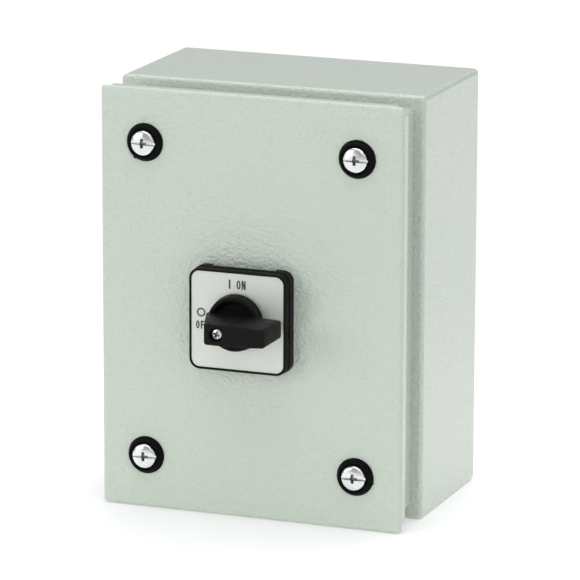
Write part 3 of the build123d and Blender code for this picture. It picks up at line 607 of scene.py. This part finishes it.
def cross_tool(front, length, depth):
    """Cutter for a cross recess: four arms that taper towards its floor."""
    floor_size = 0.62
    rings = []
    for station, size in ((front - depth, floor_size), (front + 0.3, 1.0)):
        half = length / 2 * size
        arm = length * (0.11 + 0.05 * size)
        ring = []
        for turn in range(4):
            angle = turn * pi / 2
            for along, across in ((half, -arm), (half, arm), (arm, arm)):
                x = along * cos(angle) - across * sin(angle)
                z = along * sin(angle) + across * cos(angle)
                ring.append((x, -station, z))
        rings.append(ring)
    return skin("cross", rings)


def screw(radius, height, shank, length, pitch, slot=0.0, cross=0.0, point=POINT):
    """Screw with its seat on the wall plane at the origin and its shank behind it."""
    head = pan_head("head", radius, height, slot, cross)
    return join("screw", [head, thread("shank", shank, pitch, length, point)])


def moved(x, station, z, turn=0.0, axis="Y"):
    """Matrix that turns a piece about an axis, in degrees, and then moves it from the origin."""
    shift = Matrix.Translation(Vector((x, -station, z)) * MM)
    return shift @ Matrix.Rotation(radians(turn), 4, axis)


def repeated(name, piece, places):
    """One piece made of copies of another, which is deleted."""
    bm = bmesh.new()
    for matrix in places:
        copy = piece.data.copy()
        copy.transform(matrix)
        bm.from_mesh(copy)
        bpy.data.meshes.remove(copy)
    bpy.data.objects.remove(piece)
    mesh = bpy.data.meshes.new(name)
    bm.to_mesh(mesh)
    bm.free()
    return new_object(name, mesh)


def corner_places(node, radius):
    """Centres of four equal round pieces that fill the corners of a node's box."""
    extent = Extent(node)
    return four(extent.width / 2 - radius, extent.height / 2 - radius, extent.x, extent.z)


LID_SCREWS = Extent("lid_screws")
CAD_HEAD_RADIUS = 6.0
HEAD_RADIUS = 5.9
M6_RADIUS = 3.0
M6_PITCH = 1.0
WASHERS = Extent("screw_sealing_washers")
WASHER_RADIUS = 9.0
WASHER_FLOOR = 0.8
LIP_RADIUS = 7.75
LIP_ROUND = 0.55
NIB_RADIUS = 0.6
NIB_HEIGHT = 1.2
# How far each screw's slot is turned, and which washers have a nib and at what angle, in degrees.
SLOT_TURNS = (2.0, 1.0, -1.0, 0.0)
NIBS = {0: 236.0, 3: 344.0}


def lid_screws():
    """Four screws that hold the lid, each with a slot and a cross recess."""
    seat = WASHERS.back + WASHER_FLOOR
    head_height = LID_SCREWS.front - seat
    length = seat - LID_SCREWS.back
    part = screw(HEAD_RADIUS, head_height, M6_RADIUS, length, M6_PITCH, slot=1.4, cross=4.6)
    spots = zip(corner_places("lid_screws", CAD_HEAD_RADIUS), SLOT_TURNS)
    places = [moved(x, seat, z, turn) for (x, z), turn in spots]
    place(repeated("lid_screw_set", part, places), "lid", "zinc", (ZINC, RECESS_SHADE), "lid_screws")


def sealing_washer(x, z):
    """Rubber cup round a screw head, with a rounded lip."""
    back, front = WASHERS.back, WASHERS.front
    seat = back + WASHER_FLOOR
    bore = M6_RADIUS + 0.1
    profile = [(bore, back), (WASHER_RADIUS - 0.25, back), (WASHER_RADIUS, back + 0.25)]
    profile += arc(LIP_RADIUS - LIP_ROUND, front - LIP_ROUND, LIP_ROUND, 20, 160, 7)
    profile += [(HEAD_RADIUS + 0.12, front - 0.9), (HEAD_RADIUS + 0.06, seat), (bore, seat)]
    return lathe("washer", profile, x, z, 64, loop=True)


def nib(x, z, angle):
    """What is left of the mould's gate on the rim of a washer."""
    reach = WASHER_RADIUS - 0.2
    x += reach * cos(radians(angle))
    z += reach * sin(radians(angle))
    top = WASHERS.back + NIB_HEIGHT
    profile = [
        (NIB_RADIUS, WASHERS.back + 0.2),
        (NIB_RADIUS - 0.1, top - 0.2),
        (NIB_RADIUS - 0.35, top),
    ]
    return lathe("nib", profile, x, z, 16)


def sealing_washers():
    places = corner_places("screw_sealing_washers", WASHER_RADIUS)
    washers = [sealing_washer(x, z) for x, z in places]
    washers += [nib(*places[corner], angle) for corner, angle in NIBS.items()]
    washer_set = join("sealing_washer_set", washers)
    place(washer_set, "lid", "black_rubber", RUBBER, "screw_sealing_washers")


# ---- escutcheon --------------------------------------------------------------------------------

PLATE = Extent("legend_plate")
PLATE_CORNER = 4.0
PLATE_BEVEL = 0.12
FRAME_CORNER = 5.0
FRAME_WEB = 1.4
FRAME_HOLLOW_HALF = 21.0
FRAME_HOLLOW_CORNER = 3.0
HANDLE_HOLE_RADIUS = 7.2


def bezel_frame():
    """Front frame: a groove where it snaps on, ribs round its sides and a rounded rim."""
    outside = Extent("bezel_frame")
    half = outside.width / 2
    window = PLATE.width / 2 + 0.05
    x, z = AXIS.x, AXIS.z
    sides = [
        (half - 0.45, outside.back),
        (half - 0.45, outside.back + 0.35),
        (half - 0.05, outside.back + 0.6),
        (half - 0.05, outside.back + 1.5),
        (half - 0.3, outside.back + 1.7),
        (half - 0.3, outside.back + 2.1),
        (half, outside.back + 2.3),
        (half, outside.front - 0.6),
        (half - 0.18, outside.front - 0.17),
        (half - 0.55, outside.front),
        (window + 0.12, outside.front),
        (window, outside.front - 0.12),
        (window, PLATE.back),
    ]
    rings = []
    for reach, station in sides:
        rings.append(rounded_square(reach, reach, FRAME_CORNER - half + reach, station, x, z))
    for station in (PLATE.back, PLATE.back - FRAME_WEB):
        rings.append(round_hole(HANDLE_HOLE_RADIUS, station, x, z))
    for station in (PLATE.back - FRAME_WEB, outside.back):
        hollow = rounded_square(
            FRAME_HOLLOW_HALF, FRAME_HOLLOW_HALF, FRAME_HOLLOW_CORNER, station, x, z
        )
        rings.append(hollow)
    place(skin("escutcheon_frame", rings, loop=True), "lid", "black_plastic", BLACK, "bezel_frame")


def legend_plate():
    half = PLATE.width / 2
    inner = half - PLATE_BEVEL
    x, z = AXIS.x, AXIS.z
    rings = [
        rounded_square(half, half, PLATE_CORNER, PLATE.back, x, z),
        rounded_square(half, half, PLATE_CORNER, PLATE.front - PLATE_BEVEL, x, z),
        rounded_square(inner, inner, PLATE_CORNER - PLATE_BEVEL, PLATE.front, x, z),
        round_hole(HANDLE_HOLE_RADIUS, PLATE.front, x, z),
        round_hole(HANDLE_HOLE_RADIUS, PLATE.back, x, z),
    ]
    plate = skin("silver_legend_plate", rings, loop=True, sharp=20)
    place(plate, "lid", "legend_silver", SILVER, "legend_plate")


INK_THICKNESS = 0.04
STROKE = 0.66
HEAVY_STROKE = 0.8
LETTER_WIDTH = 0.47
MIDDLE_BAR = 0.52
I_MARK = (-4.15, 15.4)
ON_MARK = (-0.35, 15.4)
O_MARK = (-17.85, 3.1)
OFF_MARK = (-20.4, -4.75)
O_MARK_RADIUS = 2.1


def stroke(start, end, station, width):
    """Printed straight line between two points given as x, z from the switch's axis."""
    run = Vector((end[0] - start[0], end[1] - start[1]))
    side = Vector((-run.y, run.x)).normalized() * (width / 2)
    corners = [Vector(start) + side, Vector(end) + side, Vector(end) - side, Vector(start) - side]
    rings = []
    for reach in (station - INK_THICKNESS, station + INK_THICKNESS):
        rings.append([(AXIS.x + c.x, -reach, AXIS.z + c.y) for c in corners])
    return skin("stroke", rings)


def oval(x, z, half_x, half_z, station, width):
    """Printed ring, with its centre at x, z from the switch's axis."""
    count = 40
    below, above = station - INK_THICKNESS, station + INK_THICKNESS
    rings = []
    for inset, reach in ((0.0, below), (0.0, above), (width, above), (width, below)):
        ring = []
        for i in range(count):
            across = (half_x - inset) * cos(tau * i / count)
            up = (half_z - inset) * sin(tau * i / count)
            ring.append((AXIS.x + x + across, -reach, AXIS.z + z + up))
        rings.append(ring)
    return skin("oval", rings, loop=True)


def letter(name, x, z, height, station, width=STROKE):
    """Narrow capital O, N or F, or the bar of an I, with its lower left corner at x, z."""
    span = LETTER_WIDTH * height
    left = x + width / 2
    right = x + span - width / 2
    top = z + height
    if name == "O":
        return [oval(x + span / 2, z + height / 2, span / 2, height / 2, station, width)]
    middle = z + MIDDLE_BAR * height
    lines = {
        "I": [((left, z), (left, top))],
        "N": [((left, z), (left, top)), ((left, top), (right, z)), ((right, z), (right, top))],
        "F": [
            ((left, z), (left, top)),
            ((x, top - width / 2), (x + span, top - width / 2)),
            ((x, middle), (x + 0.86 * span, middle)),
        ],
    }
    return [stroke(start, end, station, width) for start, end in lines[name]]


def legend():
    """I ON above the handle and O OFF to its left."""
    station = PLATE.front + 0.5 * INK_THICKNESS
    marks = letter("I", *I_MARK, 4.3, station, HEAVY_STROKE)
    for word, (left, bottom), height, step in (("ON", ON_MARK, 4.2, 2.5), ("OFF", OFF_MARK, 3.8, 2.4)):
        for i, name in enumerate(word):
            marks += letter(name, left + i * step, bottom, height, station)
    marks.append(oval(*O_MARK, O_MARK_RADIUS, O_MARK_RADIUS, station, 0.68))
    place(join("legend_print", marks), "lid", "legend_silver", INK)


# ---- handle ------------------------------------------------------------------------------------

KNOB = Extent("knob")
KNOB_SCREW = Extent("knob_screw")
KNOB_SCREW_HEAD = 2.2
POCKET_RADIUS = 3.2
M3_RADIUS = 1.5
M3_PITCH = 0.5
DISC_RADIUS = AXIS.x - KNOB.left
DISC_BACK = PLATE.front + 0.8
DISC_FRONT = DISC_BACK + 5.0
DISC_TAPER = 0.6
DISH_FLOOR = DISC_BACK + 1.4
DISH_RADIUS = 10.4
HUB_RADIUS = 5.8
TAIL = KNOB.right - AXIS.x
TIP_BASE = 13.2
TIP_FRONT = 5.5
TIP_HALF = 4.9
TAIL_HALF = 4.15
SWELL = 0.35
GRIP_EDGE = 0.65
GRIP_CORNER = 1.1
SIDE_STEPS = 18


def grip_outline(station, tip, inset):
    """Plan of the bar at one station: bowed sides and rounded corners."""
    left = -tip + inset
    right = TAIL - inset
    radius = max(GRIP_CORNER - inset, 0.3)
    points = []
    for sign, start, end in ((1, right, left), (-1, left, right)):
        for step in range(SIDE_STEPS + 1):
            share = (1 - cos(pi * step / SIDE_STEPS)) / 2
            x = start + (end - start) * share
            along = (x - left) / (right - left)
            half = TIP_HALF + (TAIL_HALF - TIP_HALF) * along + SWELL * sin(pi * along) - inset
            short = radius - min(x - left, right - x, radius)
            half -= radius - max(radius**2 - short**2, 0.0) ** 0.5
            points.append((AXIS.x + x, -station, AXIS.z + sign * half))
    return points


def grip_bar():
    """Bar grip from just behind the disc's face to the front: its tip slants back."""
    base = DISC_FRONT - 0.25
    rise = KNOB.front - base
    rings = []
    levels = [(0.0, GRIP_EDGE * 0.4), (0.02, 0.0), (0.35, 0.0), (0.7, 0.0)]
    for angle in range(0, 91, 18):
        away = GRIP_EDGE * (1 - sin(radians(angle)))
        levels.append((1 - away / rise, GRIP_EDGE * (1 - cos(radians(angle)))))
    for share, inset in levels:
        tip = TIP_BASE + (TIP_FRONT - TIP_BASE) * share
        rings.append(grip_outline(base + rise * share, tip, inset))
    return skin("bar", rings)


def grip_root():
    """Stepped foot of the bar inside the dish."""
    x, z = AXIS.x, AXIS.z
    edge = DISH_RADIUS + 0.3
    reach = DISH_RADIUS + 2
    wide, narrow = TIP_HALF + 0.75, TIP_HALF - 0.1
    back, step, front = DISH_FLOOR - 1, DISH_FLOOR + 1.3, DISC_FRONT + 1
    root = lathe("root", [(edge, DISH_FLOOR - 0.4), (edge, DISC_FRONT)], x, z, 96)
    foot = block("foot", x - reach, x + reach, back, step, z - wide, z + wide)
    stem = block("stem", x - reach, x + reach, back, front, z - narrow, z + narrow)
    boolean(foot, stem, "UNION")
    boolean(root, foot, "INTERSECT")
    return root


def knob():
    """Round skirt with a dished face, and the bar grip across it."""
    x, z = AXIS.x, AXIS.z
    top = DISC_RADIUS - DISC_TAPER
    profile = [(HUB_RADIUS, KNOB.back), (HUB_RADIUS, DISC_BACK), (DISC_RADIUS - 0.2, DISC_BACK)]
    profile += [(DISC_RADIUS, DISC_BACK + 0.2)]
    profile += arc(top - 0.8, DISC_FRONT - 0.8, 0.8, 0, 90, 6)
    profile += arc(DISH_RADIUS + 0.8, DISC_FRONT - 0.35, 0.35, 90, 150, 3)
    profile += [(DISH_RADIUS + 0.15, DISC_FRONT - 1.5), (DISH_RADIUS - 0.35, DISC_FRONT - 1.7)]
    profile += arc(DISH_RADIUS - 1.2, DISH_FLOOR + 0.6, 0.6, 0, -90, 4)
    profile += [(0.3, DISH_FLOOR)]
    body = lathe("moulded_knob", profile, x, z, 96)
    boolean(body, grip_root(), "UNION")
    boolean(body, grip_bar(), "UNION")
    seat = KNOB_SCREW.front - KNOB_SCREW_HEAD
    mouth = KNOB.front
    walls = [
        (POCKET_RADIUS, seat),
        (POCKET_RADIUS, mouth - 0.25),
        (POCKET_RADIUS + 0.5, mouth + 0.25),
    ]
    boolean(body, lathe("pocket", walls, x, z, 40), "DIFFERENCE")
    place(body, "handle", "black_plastic", BLACK, "knob")


def knob_screw():
    seat = KNOB_SCREW.front - KNOB_SCREW_HEAD
    length = seat - KNOB_SCREW.back
    part = screw(2.8, KNOB_SCREW_HEAD, M3_RADIUS, length, M3_PITCH, cross=3.4, point=0.5)
    part = repeated("handle_screw", part, [moved(AXIS.x, seat, AXIS.z, 20.0)])
    place(part, "handle", "zinc", (DULL_ZINC, RECESS_SHADE), "knob_screw")


# ---- inside the box and behind the lid ---------------------------------------------------------

BASE_SCREW_HEAD = 2.4
BOLT_HEAD = 2.2
TERMINAL_HEAD = 2.6


def lid_gasket():
    """Foam strip with the groove that the neck's edge presses into it."""
    extent = Extent("lid_gasket")
    neck = BODY.front
    band = 7.0
    corner = 5.0
    edge = (band - 1.5) / 2
    section = [
        (0.25, extent.front),
        (0.0, extent.front - 1.2),
        (0.15, neck + 0.35),
        (0.7, neck),
        (edge - 0.5, neck + 0.05),
        (edge, neck + 0.55),
        (band - edge, neck + 0.55),
        (band - edge + 0.5, neck + 0.05),
        (band - 0.7, neck),
        (band - 0.15, neck + 0.35),
        (band, extent.front - 1.2),
        (band - 0.25, extent.front),
    ]
    rings = []
    for inset, station in section:
        half_x, half_z = extent.width / 2 - inset, extent.height / 2 - inset
        rings.append(rounded_square(half_x, half_z, max(corner - inset, 1.0), station))
    place(skin("foam_gasket", rings, loop=True), "lid", "grey_foam", FOAM, "lid_gasket")


def base_screws():
    """Four screws under the front frame, through the lid, into the detent housing."""
    heads = solids("base_screws")
    seat = heads[0].front - BASE_SCREW_HEAD
    length = seat - heads[0].back
    part = screw(heads[0].width / 2, BASE_SCREW_HEAD, 2.0, length, 0.7, cross=3.8)
    places = [moved(head.x, seat, head.z, 45.0 * i) for i, head in enumerate(heads)]
    place(repeated("base_screw_set", part, places), "lid", "zinc", (ZINC, RECESS_SHADE), "base_screws")


def through_bolts():
    """Two long screws whose heads are at the back of the switch block."""
    bolts = solids("through_bolts")
    seat = bolts[0].back + BOLT_HEAD
    length = bolts[0].front - seat
    part = screw(bolts[0].width / 2, BOLT_HEAD, M3_RADIUS, length, M3_PITCH, slot=0.7, cross=3.2)
    places = []
    for i, bolt in enumerate(bolts):
        spin = Matrix.Rotation(radians(30 + 80 * i), 4, "Y")
        places.append(moved(bolt.x, seat, bolt.z, 180.0, "Z") @ spin)
    place(repeated("through_bolt_set", part, places), "lid", "zinc", (ZINC, RECESS_SHADE), "through_bolts")


def terminal_screws(layer):
    """Slotted clamp screws that face up in the upper row and down in the lower row."""
    node = f"terminal_screws_{layer}"
    screws = solids(node)
    length = screws[0].height - TERMINAL_HEAD
    part = screw(screws[0].width / 2, TERMINAL_HEAD, 1.75, length, 0.7, slot=0.9)
    places = []
    for i, extent in enumerate(screws):
        up = extent.z > AXIS.z
        seat = extent.top - TERMINAL_HEAD if up else extent.bottom + TERMINAL_HEAD
        station = (extent.back + extent.front) / 2
        spin = Matrix.Rotation(radians(25 * i), 4, "Y")
        places.append(moved(extent.x, station, seat, -90.0 if up else 90.0, "X") @ spin)
    screw_set = repeated(f"terminal_screw_set_{layer}", part, places)
    place(screw_set, "lid", "zinc", (ZINC, RECESS_SHADE), node)


def hex_nut(flats, height, bore):
    """Nut on the wall plane, with the corners of both faces turned down."""
    reach = flats / 2 / cos(pi / 6)
    prism = lathe("nut", [(reach, 0.0), (reach, height)], count=6)
    drop = (reach - flats / 2) * 0.6
    low = flats / 2 - 0.1
    profile = [(low, 0.0), (reach + 0.1, drop), (reach + 0.1, height - drop), (low, height)]
    boolean(prism, lathe("chamfer", profile), "INTERSECT")
    tool = [(bore + 0.4, -0.1), (bore, 0.45), (bore, height - 0.45), (bore + 0.4, height + 0.1)]
    boolean(prism, lathe("bore", tool, count=32), "DIFFERENCE")
    return prism


def nuts(node, name):
    """Every nut of a node. They all stand with two corners to the left and right."""
    extents = solids(node)
    part = hex_nut(extents[0].height, extents[0].front - extents[0].back, M6_RADIUS + 0.05)
    places = [moved(e.x, e.back, e.z) for e in extents]
    place(repeated(name, part, places), "enclosure", "zinc", ZINC, node)


def earth_stud():
    """Threaded stud on the back wall, with its point towards the lid."""
    extent = Extent("earth_stud")
    stud = thread("stud", M6_RADIUS, M6_PITCH, extent.front - extent.back)
    stud = repeated("threaded_earth_stud", stud, [moved(extent.x, extent.back, extent.z, 180.0, "Z")])
    place(stud, "enclosure", "zinc", ZINC, "earth_stud")


DETENT_WIRE = 0.6
CONTACT_WIRE = 0.5


def detent_springs():
    springs = []
    for extent in solids("detent_springs"):
        station = (extent.back + extent.front) / 2
        ends = [(x, -station, extent.z) for x in (extent.left, extent.right)]
        springs.append(helix_spring("spring", *ends, DETENT_WIRE))
    place(join("detent_spring_pair", springs), "lid", "steel", SPRING_STEEL, "detent_springs")


def contact_spring(layer, side):
    """Spring between a contact's slider and the chamber wall."""
    node = f"contact_spring_{layer}_{side}"
    extent = Extent(node)
    station = (extent.back + extent.front) / 2
    moving, fixed = (extent.right, extent.left) if side == "left" else (extent.left, extent.right)
    start, end = (moving, -station, extent.z), (fixed, -station, extent.z)
    spring = helix_spring(f"coil_{layer}_{side}", start, end, CONTACT_WIRE)
    coat(spring, "steel", SPRING_STEEL, node)
    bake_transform(spring)


BUTTON_RADIUS = 1.6
BUTTON_HEIGHT = 0.5
CONTACT_SPREAD = 8.5
CONTACT_STROKE = 2.0
CONTACT_GAP = 0.05


def silver_tip(x, station, z, facing):
    """Low domed contact button on an upright face that looks along +X or -X."""
    profile = [(BUTTON_RADIUS, -0.05), (BUTTON_RADIUS, 0.3), (BUTTON_RADIUS - 0.12, 0.42)]
    profile += [(BUTTON_RADIUS * 0.6, BUTTON_HEIGHT), (0.1, BUTTON_HEIGHT + 0.01)]
    tip = lathe("tip", profile, count=32)
    tip.data.transform(moved(x, station, z, 90.0 * facing, "Z"))
    return tip


def silver_tips(layer):
    """Buttons on the four fixed strips and on both moving bridges of one layer."""
    heights = (AXIS.z + CONTACT_SPREAD, AXIS.z - CONTACT_SPREAD)
    fixed = []
    for side, facing in (("left", -1), ("right", 1)):
        bridge = Extent(f"contact_bridge_{layer}_{side}")
        station = (bridge.back + bridge.front) / 2
        face = bridge.left + BUTTON_HEIGHT if side == "right" else bridge.right - BUTTON_HEIGHT
        pair = join(
            f"bridge_tips_{layer}_{side}", [silver_tip(face, station, z, -facing) for z in heights]
        )
        place(pair, f"contact_{layer}_{side}", "zinc", SILVER_TIP)
        strip = face - facing * (2 * BUTTON_HEIGHT + CONTACT_STROKE + CONTACT_GAP)
        fixed += [silver_tip(strip, station, z, facing) for z in heights]
    place(join(f"fixed_tips_{layer}", fixed), "lid", "zinc", SILVER_TIP)


# ---- stage -------------------------------------------------------------------------------------


FLOOR_REACH = 4000.0
GLOW_REACH = 450.0


def stage():
    """Pale floor under the box that glows: a painted pool of light, brightest near the box, in a dim room."""
    ring = ((-1, 1), (1, 1), (1, -1), (-1, -1))
    corners = [(x * FLOOR_REACH, y * FLOOR_REACH, BODY.bottom) for x, y in ring]
    floor = build("floor", corners, [(0, 1, 2, 3)])
    finish = Finish("floor_finish", (0.93, 0.93, 0.93), 0.7)
    finish.bump(finish.noise(2.0, 2.0), 0.02, 0.2)
    # Emission that fades out with distance from the box: a painted pool of light on the floor, which also lights
    # the box from below.
    distance = finish.nodes.new("ShaderNodeVectorMath")
    distance.operation = "LENGTH"
    finish.links.new(finish.position, distance.inputs[0])
    glow = finish.spread(distance.outputs["Value"], 0.23, 0.02, 0.1, GLOW_REACH * MM)
    finish.set("Emission Color", (1.0, 1.0, 1.0, 1.0))
    finish.links.new(glow, finish.shader.inputs["Emission Strength"])
    floor.data.materials.append(finish.material)
    world = bpy.data.worlds.new("studio")
    world.use_nodes = True
    background = world.node_tree.nodes["Background"]
    background.inputs["Color"].default_value = (0.97, 0.985, 1.0, 1.0)
    background.inputs["Strength"].default_value = 0.43
    bpy.context.scene.world = world


def lamp(name, position, target, width, height, power):
    """Large soft panel that faces a target."""
    data = bpy.data.lights.new(name, "AREA")
    data.shape = "RECTANGLE"
    data.size = width
    data.size_y = height
    data.energy = power
    light = bpy.data.objects.new(name, data)
    bpy.context.scene.collection.objects.link(light)
    light.location = Vector(position)
    light.rotation_euler = (Vector(target) - Vector(position)).to_track_quat("-Z", "Y").to_euler()


def lights():
    """Panels at the left, right and front, one overhead and one that lights the floor behind."""
    centre = (0.0, -0.07, 0.0)
    lamp("left_panel", (-1.25, -1.7, 0.5), centre, 0.9, 0.8, 8.0)
    lamp("right_panel", (1.5, -1.5, 0.3), centre, 1.1, 1.5, 3.0)
    lamp("front_panel", (0.9, -2.2, 1.3), centre, 1.5, 1.0, 6.0)
    lamp("overhead", (0.1, -0.25, 1.9), (0.0, -0.1, 0.0), 2.2, 2.0, 23.0)
    lamp("backdrop", (0.0, 1.9, 1.6), (0.0, 2.1, 0.0), 3.0, 2.4, 27.0)


# A long lens, from the right of the front and a little above. Its place was solved from the edges
# of the box in the photo. Angles are in radians.
AIM = Vector((19.60, -LID.front, 10.91)) * MM
DISTANCE = 2102.3 * MM
AZIMUTH = 0.36618
ELEVATION = 0.23508
ROLL = 0.0030485
LENS = 285.2
SENSOR = 36.0


def camera():
    """The photo's own view of the box."""
    view = Vector((-sin(AZIMUTH) * cos(ELEVATION), cos(AZIMUTH) * cos(ELEVATION), -sin(ELEVATION)))
    right = view.cross(Vector((0, 0, 1))).normalized()
    up = right.cross(view)
    rolled_right = cos(ROLL) * right + sin(ROLL) * up
    rolled_up = cos(ROLL) * up - sin(ROLL) * right
    data = bpy.data.cameras.new("camera")
    data.lens = LENS
    data.sensor_width = SENSOR
    data.clip_end = 100.0
    eye = bpy.data.objects.new("camera", data)
    bpy.context.scene.collection.objects.link(eye)
    turn = Matrix((rolled_right, rolled_up, -view)).transposed().to_4x4()
    eye.matrix_world = Matrix.Translation(AIM - view * DISTANCE) @ turn
    bpy.context.scene.camera = eye


def main():
    lid_screws()
    base_screws()
    through_bolts()
    lid_gasket()
    nuts("weld_nuts", "weld_nut_set")
    nuts("earth_nuts", "earth_nut_pair")
    earth_stud()
    detent_springs()
    for layer in ("front", "rear"):
        terminal_screws(layer)
        silver_tips(layer)
        for side in ("left", "right"):
            contact_spring(layer, side)
    sealing_washers()
    bezel_frame()
    legend_plate()
    legend()
    knob()
    knob_screw()
    stage()
    lights()
    camera()
    bpy.context.scene.view_settings.view_transform = "Standard"


main()
